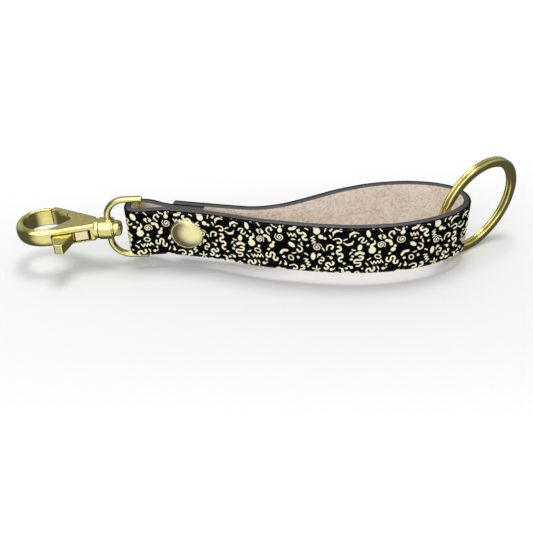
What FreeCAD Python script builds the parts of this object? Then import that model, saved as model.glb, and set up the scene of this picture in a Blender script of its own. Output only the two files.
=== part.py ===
import FreeCAD, Part
import math
import os

# Wristlet keychain: a leather wrist strap riveted round a swivel D-ring with a
# lobster-claw hook, and a split key ring threaded on the loop.
# Millimetres. X runs along the object, from the hook (-X) to the key ring (+X),
# Z is up, and the origin is at the bottom centre of the whole object.

DIMENSIONS = [
    # strap, which stands on its edge
    ("strap_width", 20.0),
    ("strap_thickness", 2.6),
    ("glue_line", 0.08),
    ("edge_coat", 0.3),
    ("strap_lift", 6.5),
    ("layer_pitch", 2.65),
    # rivet through the three layers
    ("rivet_hole_radius", 1.7),
    ("drill_length", 16.0),
    ("drill_behind", 12.0),
    ("rivet_tube_radius", 1.6),
    ("rivet_tube_bore", 1.1),
    ("rivet_shaft_radius", 1.0),
    ("rivet_cap_radius", 6.85),
    ("rivet_back_radius", 6.0),
    ("rivet_gap", 0.02),
    ("rivet_head_length", 0.5),
    ("rivet_head_step", 0.35),
    ("rivet_flange_radius", 5.6),
    ("rivet_back_flange_radius", 5.0),
    ("rivet_wall", 0.45),
    ("rivet_front_dome", 2.15),
    ("rivet_back_dome", 1.5),
    # swivel D-ring
    ("crossbar_place", -47.9),
    ("swivel_offset", 3.2),
    ("wire_radius", 1.25),
    ("crossbar_radius", 0.95),
    ("frame_half_height", 12.4),
    ("frame_bend", 7.3),
    ("arm_place", -60.8),
    ("arm_root", 2.3),
    ("boss_place", -61.85),
    ("boss_length", 5.0),
    ("boss_radius", 4.2),
    ("boss_bore", 1.68),
    # swivel stud and washer
    ("stud_radius", 1.6),
    ("stud_seat", 1.62),
    ("stud_seat_depth", 2.4),
    ("stud_head_radius", 3.1),
    ("stud_head_length", 3.0),
    ("stud_head_bevel", 0.8),
    ("washer_radius", 3.5),
    ("washer_thickness", 0.35),
    # lobster-claw hook
    ("hook_thickness", 7.4),
    ("hook_rounding", 1.4),
    ("eye_rounding", 0.6),
    ("collar_radius", 3.85),
    ("collar_length", 1.9),
    ("slot_bottom", 13.7),
    ("slot_height", 4.6),
    ("lever_bottom", 13.95),
    ("lever_thickness", 4.1),
    ("lever_corner", 0.5),
    ("gate_clearance", 0.25),
    ("neck_gap", 0.15),
    ("running_gap", 0.05),
    ("overcut", 1.0),
    ("knuckle_radius", 3.9),
    ("pin_radius", 0.8),
    ("pin_hole", 0.85),
    ("spring_thickness", 0.35),
    ("spring_bend", 0.6),
    ("spring_height", 3.6),
    # split key ring
    ("ring_radius", 20.3),
    ("ring_band", 3.4),
    ("coil_thickness", 1.45),
    ("coil_gap", 0.1),
    ("ring_jog", 36.0),
    ("ring_yaw", 34.0),
    ("ring_tilt", -4.0),
    ("ring_spin", 210.0),
    ("ring_place", 78.9),
    ("ring_offset", 4.7),
]

SIZES = dict(DIMENSIONS)
SHEET = "sizes"

# Corners of the strap's middle line, from the inner tail's end, round the
# D-ring, along the front wall, round the loop and back to the outer tail's end.
STRAP_ROUTE = [
    (-24.0, -0.46), (-38.6, 2.77), (-45.2, 6.65), (-52.5, 6.65), (-52.5, -0.45),
    (-46.0, -0.45), (-39.5, 0.25), (-21.0, -3.84), (-13.0, -6.6), (-3.0, -10.1),
    (14.0, -13.8),
    (30.0, -16.1), (46.0, -15.6), (58.0, -12.7), (67.5, -8.2), (73.4, -2.6),
    (73.8, 3.8), (70.6, 9.0), (63.0, 12.5), (52.0, 14.2), (39.0, 13.1),
    (27.0, 9.6), (14.0, 3.6), (5.0, -0.1), (-5.0, -1.6), (-18.0, 0.92),
    (-35.3, 4.75),
]
RIVET_ROUTE_POINT = (-30.8, -1.67)
RIVET_TURN = -12.47

# Plan of the hook, measured from the D-ring's crossbar along X and from the
# swivel axis along Y.
NOSE_CENTRE = (-37.5, 1.9)
NOSE_HALF_SIZES = (10.9, 9.55)
EYE_HALF_SIZES = (7.7, 6.8)
EYE_TIP = (-27.0, 1.9)
EYE_TIP_RADIUS = 0.8
NECK_END = -18.0
NECK_HALF_WIDTH = 3.5
PIVOT = (-25.0, 5.0)
SLOT_PLAN = [
    (-31.0, 12.0), (-23.0, 9.0), (-22.3, 5.0), (-21.6, 1.0), (-19.5, -3.0),
    (-19.5, -9.5), (-33.3, -9.5), (-33.3, -5.6), (-30.9, -4.1), (-29.0, -0.8),
    (-28.8, 1.8), (-31.0, 5.0),
]
GATE_ZONE = [(-33.0, 3.0), (-36.75, 8.0), (-34.6, 13.0), (-26.4, 13.0)]
SEAM_POINTS = (1, 2)
JOG_SECTIONS = 6
KNUCKLE_FROM = 108.0
KNUCKLE_TO = 215.0
LEVER_BAR = [
    (-23.2, 5.2), (-24.3, 0.0), (-26.0, -6.6), (-28.2, -13.1), (-31.4, -12.6),
    (-32.9, -7.4), (-30.2, -4.3), (-28.2, -1.0), (-26.8, 3.0), (-29.6, 5.2),
    (-31.4, 7.9), (-29.0, 9.2), (-25.4, 7.0),
]
SPRING_ROUTE = [(-24.3, -1.6), (-25.1, -4.4), (-20.4, -3.3), (-21.7, 0.4)]


def make_document():
    doc = FreeCAD.newDocument("wristlet_keychain")
    sheet = doc.addObject("Spreadsheet::Sheet", SHEET)
    for row, (alias, value) in enumerate(DIMENSIONS, start=1):
        sheet.set(f"A{row}", alias)
        sheet.set(f"B{row}", str(value))
        sheet.setAlias(f"B{row}", alias)
    doc.recompute()
    return doc


def bind(item, **expressions):
    """Binds each property of item to an expression of sheet cells."""
    for name, expression in expressions.items():
        item.setExpression(name, expression)


def cell(alias):
    return f"<<{SHEET}>>.{alias}"


def vec(x, y, z=0.0):
    return FreeCAD.Vector(x, y, z)


def from_crossbar(points):
    """Plan points of the hook, given from the crossbar, in the object's frame."""
    x, y = SIZES["crossbar_place"], SIZES["swivel_offset"]
    return [(x + u, y + v) for u, v in points]


def swivel_height():
    return SIZES["strap_lift"] + SIZES["strap_width"] / 2


# ---------------------------------------------------------------- plan curves

def turn_at(before, here, after):
    """Signed turn in radians at a corner of a route."""
    first = math.atan2(here[1] - before[1], here[0] - before[0])
    second = math.atan2(after[1] - here[1], after[0] - here[0])
    return (second - first + math.pi) % (2 * math.pi) - math.pi


def rounded(points, radius=None, closed=False):
    """Straight runs joined by tangent arcs: ("line", a, b) and
    ("arc", centre, radius, start angle, turn). Without a radius, each arc is as
    large as 0.45 of its shorter run allows."""
    count = len(points)
    corners = range(count) if closed else range(1, count - 1)
    bends = {}
    for i in corners:
        before, here, after = points[i - 1], points[i], points[(i + 1) % count]
        turn = turn_at(before, here, after)
        run = min(math.dist(before, here), math.dist(here, after))
        bend = radius if radius else 0.45 * run / abs(math.tan(turn / 2))
        heading = math.atan2(here[1] - before[1], here[0] - before[0])
        reach = bend * abs(math.tan(turn / 2))
        side = math.copysign(1, turn)
        start = (here[0] - reach * math.cos(heading), here[1] - reach * math.sin(heading))
        centre = (start[0] - side * bend * math.sin(heading),
                  start[1] + side * bend * math.cos(heading))
        out = heading + turn
        finish = (here[0] + reach * math.cos(out), here[1] + reach * math.sin(out))
        bends[i] = (start, finish, centre, bend, heading - side * math.pi / 2, turn)
    pieces = []
    last = bends[count - 1][1] if closed else points[0]
    for i in range(0 if closed else 1, count):
        start = bends[i][0] if i in bends else points[i]
        if math.dist(last, start) > 1e-6:
            pieces.append(("line", last, start))
        if i in bends:
            _, finish, centre, bend, angle, turn = bends[i]
            pieces.append(("arc", centre, bend, angle, turn))
            last = finish
    return pieces


def shifted(pieces, right):
    """The same route moved to the right of its heading by a distance."""
    moved = []
    for piece in pieces:
        if piece[0] == "line":
            _, a, b = piece
            run = math.dist(a, b)
            normal = ((b[1] - a[1]) / run * right, (a[0] - b[0]) / run * right)
            moved.append(("line", (a[0] + normal[0], a[1] + normal[1]),
                          (b[0] + normal[0], b[1] + normal[1])))
        else:
            _, centre, bend, angle, turn = piece
            moved.append(("arc", centre, bend + right * math.copysign(1, turn), angle, turn))
    return moved


def ends(piece):
    if piece[0] == "line":
        return piece[1], piece[2]
    _, centre, bend, angle, turn = piece
    return tuple((centre[0] + bend * math.cos(a), centre[1] + bend * math.sin(a))
                 for a in (angle, angle + turn))


def curve(piece):
    """One sketch curve for a piece of a route."""
    if piece[0] == "line":
        return Part.LineSegment(vec(*piece[1]), vec(*piece[2]))
    _, centre, bend, angle, turn = piece
    low, high = sorted((angle, angle + turn))
    circle = Part.Circle(vec(*centre), vec(0, 0, 1), bend)
    return Part.ArcOfCircle(circle, low, high)


def segment(a, b):
    return Part.LineSegment(vec(*a), vec(*b))


def band_curves(pieces, inner, outer):
    """The closed outline of a band between two shifts of one route."""
    one, other = shifted(pieces, inner), shifted(pieces, outer)
    curves = [curve(p) for p in one] + [curve(p) for p in other]
    curves.append(segment(ends(one[0])[0], ends(other[0])[0]))
    curves.append(segment(ends(one[-1])[1], ends(other[-1])[1]))
    return curves


def teardrop(centre, half_sizes, first, second):
    """An ellipse with tangents to a point below and a point above its axis."""
    (cx, cy), (a, b) = centre, half_sizes
    angles = []
    for point, side in ((first, -1), (second, 1)):
        u, v = (point[0] - cx) / a, (point[1] - cy) / b
        angles.append(math.atan2(v, u) + side * math.acos(1 / math.hypot(u, v)))
    touch = [(cx + a * math.cos(t), cy + b * math.sin(t)) for t in angles]
    arc = Part.ArcOfEllipse(Part.Ellipse(vec(cx, cy), a, b), angles[1],
                            angles[0] + 2 * math.pi)
    return arc, touch


# ------------------------------------------------------------ document helpers

def plan_sketch(doc, name, curves, height):
    """A sketch on a level plane at a height that is an expression."""
    sketch = doc.addObject("Sketcher::SketchObject", name)
    sketch.addGeometry(curves, False)
    sketch.setExpression("Placement.Base.z", height)
    return sketch


def extrusion(doc, name, sketch, length):
    solid = doc.addObject("Part::Extrusion", name)
    solid.Base = sketch
    solid.DirMode = "Custom"
    solid.Dir = vec(0, 0, 1)
    solid.Solid = True
    bind(solid, LengthFwd=length)
    return solid


def prism(doc, name, curves, height, length):
    return extrusion(doc, name, plan_sketch(doc, name + "_plan", curves, height), length)


def cylinder(doc, name, place, turn, **expressions):
    """A cylinder whose axis is local Z, turned and placed."""
    rod = doc.addObject("Part::Cylinder", name)
    rod.Placement = FreeCAD.Placement(vec(*place), turn)
    bind(rod, **expressions)
    return rod


def cut(doc, name, base, tool):
    result = doc.addObject("Part::Cut", name)
    result.Base = base
    result.Tool = tool
    return result


def fuse(doc, name, *shapes):
    result = doc.addObject("Part::MultiFuse", name)
    result.Shapes = list(shapes)
    return result


def common(doc, name, *shapes):
    result = doc.addObject("Part::MultiCommon", name)
    result.Shapes = list(shapes)
    return result


def revolved(doc, name, profile, placement):
    """A turned piece: a closed profile of (radius, height) about local Z."""
    sketch = doc.addObject("Sketcher::SketchObject", name + "_profile")
    sketch.addGeometry(profile, False)
    sketch.Placement = FreeCAD.Placement(vec(0, 0, 0), FreeCAD.Rotation(vec(1, 0, 0), 90))
    turned = doc.addObject("Part::Revolution", name)
    turned.Source = sketch
    turned.Axis = vec(0, 0, 1)
    turned.Base = vec(0, 0, 0)
    turned.Angle = 360.0
    turned.Solid = True
    turned.Placement = placement
    return turned


def closed_line(points):
    return [segment(points[i - 1], points[i]) for i in range(len(points))]


ALONG_X = FreeCAD.Rotation(vec(0, 1, 0), 90)
UPRIGHT = FreeCAD.Rotation()


# ------------------------------------------------------------------- the strap

def rivet_placement():
    """Local Z is the rivet's axis, out of the front wall; 0 is the front face."""
    angle = math.radians(RIVET_TURN)
    outward = vec(math.sin(angle), -math.cos(angle))
    half = SIZES["strap_thickness"] / 2
    base = vec(*RIVET_ROUTE_POINT, swivel_height()) + outward * half
    return FreeCAD.Placement(base, FreeCAD.Rotation(vec(0, 0, 1), outward))


def strap_layers(doc):
    route = rounded(STRAP_ROUTE)
    half, glue = SIZES["strap_thickness"] / 2, SIZES["glue_line"] / 2
    low = f"{cell('strap_lift')} + {cell('edge_coat')}"
    height = f"{cell('strap_width')} - 2 * {cell('edge_coat')}"
    pieces = []
    for name, inner, outer in (("strap_outer_leather", glue, half),
                               ("strap_suede_lining", -half, -glue)):
        layer = prism(doc, name + "_blank", band_curves(route, inner, outer), low, height)
        drill = cylinder(doc, name + "_drill", (0, 0, 0), UPRIGHT,
                         Radius=cell("rivet_hole_radius"), Height=cell("drill_length"))
        behind = FreeCAD.Placement(vec(0, 0, -SIZES["drill_behind"]), UPRIGHT)
        drill.Placement = rivet_placement() * behind
        pieces.append(cut(doc, name, layer, drill))
    for name, base in (("edge_coat_lower", cell("strap_lift")),
                       ("edge_coat_upper",
                        f"{cell('strap_lift')} + {cell('strap_width')} - {cell('edge_coat')}")):
        pieces.append(prism(doc, name, band_curves(route, -half, half), base,
                            cell("edge_coat")))
    return pieces


# ------------------------------------------------------------------- the rivet

def dome_shell(radius, wall, crown, base):
    """Profile of a domed cap: crown is the height of its top above base."""
    def arc(rim, rim_height, top):
        middle = rim / 2
        drop = (top - rim_height) * (middle / rim) ** 2
        return Part.Arc(vec(0, top), vec(middle, top - drop), vec(rim, rim_height))
    direction = math.copysign(1, crown)
    rim = base + direction * wall
    inside = radius - wall
    return [
        arc(radius, rim, base + crown),
        segment((radius, rim), (radius, base)),
        segment((radius, base), (inside, base)),
        segment((inside, base), (inside, rim)),
        arc(inside, rim, base + crown - direction * wall),
        segment((0, base + crown - direction * wall), (0, base + crown)),
    ]


def rivet_pieces(doc):
    place = rivet_placement()
    gap = SIZES["rivet_gap"]
    stack = -(SIZES["strap_thickness"] + 2 * SIZES["layer_pitch"])
    front, back = gap, stack - gap
    cap, back_cap, wall = SIZES["rivet_cap_radius"], SIZES["rivet_back_radius"], SIZES["rivet_wall"]
    tube, bore, shaft = SIZES["rivet_tube_radius"], SIZES["rivet_tube_bore"], SIZES["rivet_shaft_radius"]
    flange, back_flange = SIZES["rivet_flange_radius"], SIZES["rivet_back_flange_radius"]
    flange_top = front + wall - gap
    flange_low = back - wall + gap
    head = SIZES["rivet_head_length"]
    head_radius = shaft + SIZES["rivet_head_step"]
    socket = [(bore, flange_top), (flange, flange_top), (flange, front), (tube, front),
              (tube, back + head), (bore, back + head)]
    post = [(0, flange_low), (back_flange, flange_low), (back_flange, back), (shaft, back),
            (shaft, flange_top + gap), (head_radius, flange_top + gap),
            (head_radius, flange_top + head), (0, flange_top + head)]
    return [
        revolved(doc, "rivet_front_cap",
                 dome_shell(cap, wall, SIZES["rivet_front_dome"], front), place),
        revolved(doc, "rivet_socket", closed_line(socket), place),
        revolved(doc, "rivet_post", closed_line(post), place),
        revolved(doc, "rivet_back_cap",
                 dome_shell(back_cap, wall, -SIZES["rivet_back_dome"], back), place),
    ]


# ------------------------------------------------------------------ the D-ring

def d_ring_arm(doc, name, side):
    """One arm, from the boss to the crossbar; side is 1 for the upper one."""
    top, big = SIZES["frame_half_height"], SIZES["frame_bend"]
    root, start = SIZES["arm_place"], SIZES["arm_root"]
    end = SIZES["crossbar_place"] + SIZES["crossbar_radius"]
    quarter = math.pi / 2
    spine = [
        ("line", (root, start * side), (root, (top - big) * side)),
        ("arc", (root + big, (top - big) * side), big, 2 * quarter * side, -quarter * side),
        ("line", (root + big, top * side), (end, top * side)),
    ]
    path = doc.addObject("Sketcher::SketchObject", name + "_path")
    path.addGeometry([curve(p) for p in spine], False)
    centre = vec(0, SIZES["swivel_offset"], swivel_height())
    path.Placement = FreeCAD.Placement(centre, FreeCAD.Rotation(vec(1, 0, 0), 90))
    section = doc.addObject("Part::Circle", name + "_section")
    section.Placement = FreeCAD.Placement(centre + vec(root, 0, start * side), UPRIGHT)
    bind(section, Radius=cell("wire_radius"))
    wire = doc.addObject("Part::Sweep", name)
    wire.Sections = [section]
    wire.Spine = (path, [])
    wire.Solid = True
    wire.Frenet = False
    return wire


def swivel_d_ring(doc):
    arms = [d_ring_arm(doc, "upper_arm", 1), d_ring_arm(doc, "lower_arm", -1)]
    foot = (SIZES["crossbar_place"], SIZES["swivel_offset"],
            swivel_height() - SIZES["frame_half_height"])
    crossbar = cylinder(doc, "crossbar", foot, UPRIGHT, Radius=cell("crossbar_radius"),
                        Height=f"2 * {cell('frame_half_height')}")
    end = (boss_near(), SIZES["swivel_offset"], swivel_height())
    barrel = cylinder(doc, "d_ring_barrel", end, ALONG_X,
                      Radius=cell("boss_radius"), Height=cell("boss_length"))
    bore = cylinder(doc, "d_ring_bore", end, ALONG_X,
                    Radius=cell("boss_bore"), Height=cell("boss_length"))
    return cut(doc, "swivel_d_ring", fuse(doc, "d_ring_blank", *arms, crossbar, barrel), bore)


# -------------------------------------------------------------------- the hook

def hook_blank(doc):
    """The claw's outline with its eye, before the gate and slot are cut out."""
    low, high, centre = from_crossbar([
        (NECK_END, -NECK_HALF_WIDTH), (NECK_END, NECK_HALF_WIDTH), NOSE_CENTRE])
    nose, (near, far) = teardrop(centre, NOSE_HALF_SIZES, low, high)
    outline = [nose, segment(low, near), segment(far, high), segment(high, low)]
    tip = from_crossbar([EYE_TIP])[0]
    eye, (near, far) = teardrop(centre, EYE_HALF_SIZES, tip, tip)
    corner = [curve(p) for p in rounded([near, tip, far], EYE_TIP_RADIUS)]

    body = doc.addObject("PartDesign::Body", "hook_blank")
    level = next(f for f in body.Origin.OriginFeatures if f.Role == "XY_Plane")
    profile = body.newObject("Sketcher::SketchObject", "hook_outline")
    profile.AttachmentSupport = [(level, "")]
    profile.MapMode = "FlatFace"
    profile.setExpression("AttachmentOffset.Base.z", lower_face())
    profile.addGeometry(outline, False)
    pad = body.newObject("PartDesign::Pad", "hook_pad")
    pad.Profile = profile
    bind(pad, Length=cell("hook_thickness"))
    doc.recompute()
    rim = body.newObject("PartDesign::Fillet", "hook_rim")
    rim.Base = (pad, level_edges(pad))
    bind(rim, Radius=cell("hook_rounding"))
    doc.recompute()
    hole = body.newObject("Sketcher::SketchObject", "eye_outline")
    hole.AttachmentSupport = [(level, "")]
    hole.MapMode = "FlatFace"
    hole.setExpression("AttachmentOffset.Base.z", lower_face())
    hole.addGeometry([eye] + corner, False)
    pocket = body.newObject("PartDesign::Pocket", "hook_eye")
    pocket.Profile = hole
    pocket.Type = "Length"
    pocket.Reversed = True
    bind(pocket, Length=f"{cell('hook_thickness')} + {cell('overcut')}")
    doc.recompute()
    soft = body.newObject("PartDesign::Fillet", "eye_rim")
    soft.Base = (pocket, eye_edges(pocket, centre))
    bind(soft, Radius=cell("eye_rounding"))
    body.Tip = soft
    doc.recompute()
    return body


def boss_near():
    """Where the boss's hook end lies along X."""
    return SIZES["boss_place"] - SIZES["boss_length"] / 2


def boss_far():
    return SIZES["boss_place"] + SIZES["boss_length"] / 2


def lower_face():
    return f"{cell('strap_lift')} + {cell('strap_width')} / 2 - {cell('hook_thickness')} / 2"


def level_edges(feature):
    """Names of the edges that lie in the top or bottom plane of a pad, apart
    from those of its flat end."""
    names = []
    box = feature.Shape.BoundBox
    for number, edge in enumerate(feature.Shape.Edges, start=1):
        level = edge.BoundBox.ZLength < 1e-4
        end = edge.BoundBox.XMin > box.XMax - 1e-4
        if level and not end:
            names.append(f"Edge{number}")
    return names


def eye_edges(feature, centre):
    """Names of the level edges round the eye."""
    names = []
    box = feature.Shape.BoundBox
    reach = EYE_HALF_SIZES[1] + 0.1
    for number, edge in enumerate(feature.Shape.Edges, start=1):
        at_face = edge.BoundBox.ZLength < 1e-4 and (
            abs(edge.BoundBox.ZMin - box.ZMin) < 1e-4 or abs(edge.BoundBox.ZMax - box.ZMax) < 1e-4)
        inside = (edge.BoundBox.YMin > centre[1] - reach and edge.BoundBox.YMax < centre[1] + reach
                  and edge.BoundBox.XMax < from_crossbar([EYE_TIP])[0][0] + 0.1)
        if at_face and inside:
            names.append(f"Edge{number}")
    return names


def gate_zone(gap):
    """Plan of the room for the gate: its end near the pivot is an arc about it."""
    px, py = from_crossbar([PIVOT])[0]
    radius = SIZES["knuckle_radius"] + gap
    points = from_crossbar(GATE_ZONE)
    for i in SEAM_POINTS:
        points[i] = (points[i][0] + gap, points[i][1])
    low, high = math.radians(KNUCKLE_FROM), math.radians(KNUCKLE_TO)
    arc = Part.ArcOfCircle(Part.Circle(vec(px, py), vec(0, 0, 1), radius), low, high)
    first = (px + radius * math.cos(low), py + radius * math.sin(low))
    last = (px + radius * math.cos(high), py + radius * math.sin(high))
    route = [last] + points + [first]
    return [arc] + [segment(a, b) for a, b in zip(route, route[1:])]


def pivot_rod(doc, name, radius, low, length):
    rod = cylinder(doc, name, (*from_crossbar([PIVOT])[0], 0), UPRIGHT,
                   Radius=radius, Height=length)
    rod.setExpression("Placement.Base.z", low)
    return rod


def hook_body(doc, blank):
    below = f"{lower_face()} - {cell('overcut')}"
    tall = f"{cell('hook_thickness')} + 2 * {cell('overcut')}"
    gate = prism(doc, "gate_room", gate_zone(0.0), below, tall)
    slot = prism(doc, "lever_slot", closed_line(from_crossbar(SLOT_PLAN)),
                 cell("slot_bottom"), cell("slot_height"))
    pin_hole = pivot_rod(doc, "pivot_hole", cell("pin_hole"), below, tall)
    collar_start = boss_near() - SIZES["neck_gap"] - SIZES["collar_length"]
    axis = (SIZES["swivel_offset"], swivel_height())
    collar = cylinder(doc, "hook_collar", (collar_start, *axis), ALONG_X,
                      Radius=cell("collar_radius"), Height=cell("collar_length"))
    mouth = collar_start + SIZES["collar_length"]
    seat = cylinder(doc, "stud_seat", (mouth - SIZES["stud_seat_depth"], *axis), ALONG_X,
                    Radius=cell("stud_seat"), Height=cell("stud_seat_depth"))
    solid = fuse(doc, "hook_solid", blank, collar)
    room = fuse(doc, "hook_room", gate, slot, pin_hole, seat)
    return cut(doc, "hook_body", solid, room)


def gate_lever(doc, blank):
    clear = SIZES["gate_clearance"]
    zone = prism(doc, "gate_zone", gate_zone(clear), f"{lower_face()} + {cell('gate_clearance')}",
                 f"{cell('hook_thickness')} - 2 * {cell('gate_clearance')}")
    gate = common(doc, "gate_head", blank, zone)
    outline = rounded(from_crossbar(LEVER_BAR), SIZES["lever_corner"], True)
    bar = prism(doc, "lever_bar", [curve(p) for p in outline],
                cell("lever_bottom"), cell("lever_thickness"))
    hole = pivot_rod(doc, "lever_hole", cell("pin_hole"), cell("lever_bottom"),
                     cell("lever_thickness"))
    return cut(doc, "gate_lever", fuse(doc, "lever_solid", gate, bar), hole)


def lever_pivot_pin(doc):
    return pivot_rod(doc, "lever_pivot_pin", cell("pin_radius"), lower_face(),
                     cell("hook_thickness"))


def lever_spring(doc):
    route = rounded(from_crossbar(SPRING_ROUTE), SIZES["spring_bend"])
    half = SIZES["spring_thickness"] / 2
    low = f"{cell('lever_bottom')} + ({cell('lever_thickness')} - {cell('spring_height')}) / 2"
    return prism(doc, "lever_spring", band_curves(route, -half, half), low,
                 cell("spring_height"))


def swivel_stud(doc):
    gap = SIZES["running_gap"]
    head_start = boss_far() + gap + SIZES["washer_thickness"] + gap
    shank_start = boss_near() - SIZES["neck_gap"] - SIZES["stud_seat_depth"] + gap
    r, head, length = SIZES["stud_radius"], SIZES["stud_head_radius"], SIZES["stud_head_length"]
    bevel = SIZES["stud_head_bevel"]
    shank = head_start - shank_start
    profile = closed_line([
        (0, 0), (r, 0), (r, shank), (head, shank), (head, shank + length - bevel),
        (head - bevel, shank + length), (0, shank + length)])
    place = FreeCAD.Placement(vec(shank_start, SIZES["swivel_offset"], swivel_height()), ALONG_X)
    return revolved(doc, "swivel_stud", profile, place)


def swivel_washer(doc):
    place = (boss_far() + SIZES["running_gap"], SIZES["swivel_offset"], swivel_height())
    disc = cylinder(doc, "washer_disc", place, ALONG_X,
                    Radius=cell("washer_radius"), Height=cell("washer_thickness"))
    hole = cylinder(doc, "washer_hole", place, ALONG_X,
                    Radius=cell("boss_bore"), Height=cell("washer_thickness"))
    return cut(doc, "swivel_washer", disc, hole)


# ------------------------------------------------------------------ key ring

def coil_section(angle, height, outer, band, thickness):
    """A rectangle of wire at an angle round the ring."""
    direction = vec(math.cos(angle), math.sin(angle))
    low, high = height - thickness / 2, height + thickness / 2
    corners = [direction * (outer - band) + vec(0, 0, low), direction * outer + vec(0, 0, low),
               direction * outer + vec(0, 0, high), direction * (outer - band) + vec(0, 0, high)]
    return Part.makePolygon(corners + corners[:1])


def split_ring(doc):
    """Flat wire wound twice: two level coils joined by a short jog."""
    outer, band, thick = SIZES["ring_radius"], SIZES["ring_band"], SIZES["coil_thickness"]
    rise = (thick + SIZES["coil_gap"]) / 2
    half_jog = math.radians(SIZES["ring_jog"] / 2)
    sweep = 360.0 - SIZES["ring_jog"]
    coils = []
    for height in (-rise, rise):
        start = coil_section(half_jog, height, outer, band, thick)
        coils.append(Part.Face(start).revolve(vec(0, 0, 0), vec(0, 0, 1), sweep))
    steps = JOG_SECTIONS
    sections = []
    for i in range(steps + 1):
        share = i / steps
        angle = half_jog * (2 * share - 1)
        height = rise * (2 * share * share * (3 - 2 * share) - 1)
        sections.append(coil_section(angle, height, outer, band, thick))
    jog = Part.makeLoft(sections, True, False)
    ring = doc.addObject("Part::Feature", "split_ring")
    ring.Shape = coils[0].fuse([jog, coils[1]]).removeSplitter()
    yaw, tilt = math.radians(SIZES["ring_yaw"] - 90), math.radians(SIZES["ring_tilt"])
    normal = vec(math.cos(yaw) * math.cos(tilt), math.sin(yaw) * math.cos(tilt), math.sin(tilt))
    half_axial = thick / 2 + rise
    height = outer * math.cos(tilt) + half_axial * abs(math.sin(tilt))
    across = vec(-math.sin(yaw), math.cos(yaw))
    level = FreeCAD.Rotation(across, normal.cross(across), normal, "ZXY")
    turn = level * FreeCAD.Rotation(vec(0, 0, 1), SIZES["ring_spin"])
    ring.Placement = FreeCAD.Placement(
        vec(SIZES["ring_place"], SIZES["ring_offset"], height), turn)
    return ring


# --------------------------------------------------------------------- writing

def check_and_write(doc, pieces):
    doc.recompute()
    for item in doc.Objects:
        if "Invalid" in item.State or "Error" in item.State:
            raise RuntimeError(f"{item.Name} failed: {item.State}")
    os.makedirs("parts", exist_ok=True)
    for piece in pieces:
        shape = piece.Shape
        if shape.isNull() or not shape.isValid() or not shape.Solids:
            raise RuntimeError(f"{piece.Label} has no valid solid")
        shape.exportStep(f"parts/{piece.Label}.step")
        print(f"{piece.Label}: {len(shape.Solids)} solid, {shape.Volume:.2f} mm3")


def main():
    doc = make_document()
    pieces = strap_layers(doc)
    pieces += rivet_pieces(doc)
    pieces.append(swivel_d_ring(doc))
    blank = hook_blank(doc)
    pieces.append(hook_body(doc, blank))
    pieces.append(gate_lever(doc, blank))
    pieces.append(lever_pivot_pin(doc))
    pieces.append(lever_spring(doc))
    pieces.append(swivel_stud(doc))
    pieces.append(swivel_washer(doc))
    pieces.append(split_ring(doc))
    check_and_write(doc, pieces)


main()
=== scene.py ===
import math
import random

import bmesh
import bpy
from mathutils import Matrix, Vector
from mathutils.geometry import delaunay_2d_cdt

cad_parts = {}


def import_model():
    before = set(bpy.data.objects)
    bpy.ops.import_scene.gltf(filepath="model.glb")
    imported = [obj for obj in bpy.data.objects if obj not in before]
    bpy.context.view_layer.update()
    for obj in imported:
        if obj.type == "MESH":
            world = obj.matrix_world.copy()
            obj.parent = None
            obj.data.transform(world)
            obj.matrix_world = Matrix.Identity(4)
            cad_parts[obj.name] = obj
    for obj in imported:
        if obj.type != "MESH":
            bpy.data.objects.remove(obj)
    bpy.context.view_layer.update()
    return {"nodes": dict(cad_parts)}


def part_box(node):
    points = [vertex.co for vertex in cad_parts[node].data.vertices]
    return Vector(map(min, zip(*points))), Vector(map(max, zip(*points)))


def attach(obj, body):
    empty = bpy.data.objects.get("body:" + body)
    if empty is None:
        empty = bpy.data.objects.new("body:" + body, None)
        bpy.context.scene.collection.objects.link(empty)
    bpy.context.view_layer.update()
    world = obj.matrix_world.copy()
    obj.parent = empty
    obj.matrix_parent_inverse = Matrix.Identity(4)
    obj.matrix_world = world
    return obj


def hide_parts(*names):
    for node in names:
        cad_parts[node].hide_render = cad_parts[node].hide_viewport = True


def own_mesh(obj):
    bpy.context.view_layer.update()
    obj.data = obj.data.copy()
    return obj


# The looks of a wristlet keychain: printed leather strap with suede lining,
# brass swivel hook, rivet and split ring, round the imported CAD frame. Metres.

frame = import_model()

MM = 0.001
STRAP_LOW, STRAP_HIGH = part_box("edge_coat_lower")[0].z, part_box("edge_coat_upper")[1].z
STRAP_WIDTH = STRAP_HIGH - STRAP_LOW
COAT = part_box("edge_coat_lower")[1].z - STRAP_LOW
AXIS_HEIGHT = (STRAP_LOW + STRAP_HIGH) / 2
STRAP_HALF = 1.3 * MM
GLUE_HALF = 0.04 * MM
EDGE_SLOPE = 0.55 * MM
VOXEL = 0.13 * MM
EYE_CENTRE = Vector((-85.4, 5.1, 16.5)) * MM
EYE_HEIGHT, EYE_DEPTH, EYE_WALL = 7.4 * MM, 1.9 * MM, 2.3 * MM

# The corners of the strap's middle line, as in the CAD design.
STRAP_ROUTE = [Vector((x * MM, y * MM)) for x, y in (
    (-24.0, -0.46), (-38.6, 2.77), (-45.2, 6.65), (-52.5, 6.65), (-52.5, -0.45),
    (-46.0, -0.45), (-39.5, 0.25), (-21.0, -3.84), (-13.0, -6.6), (-3.0, -10.1),
    (14.0, -13.8),
    (30.0, -16.1), (46.0, -15.6), (58.0, -12.7), (67.5, -8.2), (73.4, -2.6),
    (73.8, 3.8), (70.6, 9.0), (63.0, 12.5), (52.0, 14.2), (39.0, 13.1),
    (27.0, 9.6), (14.0, 3.6), (5.0, -0.1), (-5.0, -1.6), (-18.0, 0.92),
    (-35.3, 4.75),
)]


# ------------------------------------------------------------------ mesh helpers

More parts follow.
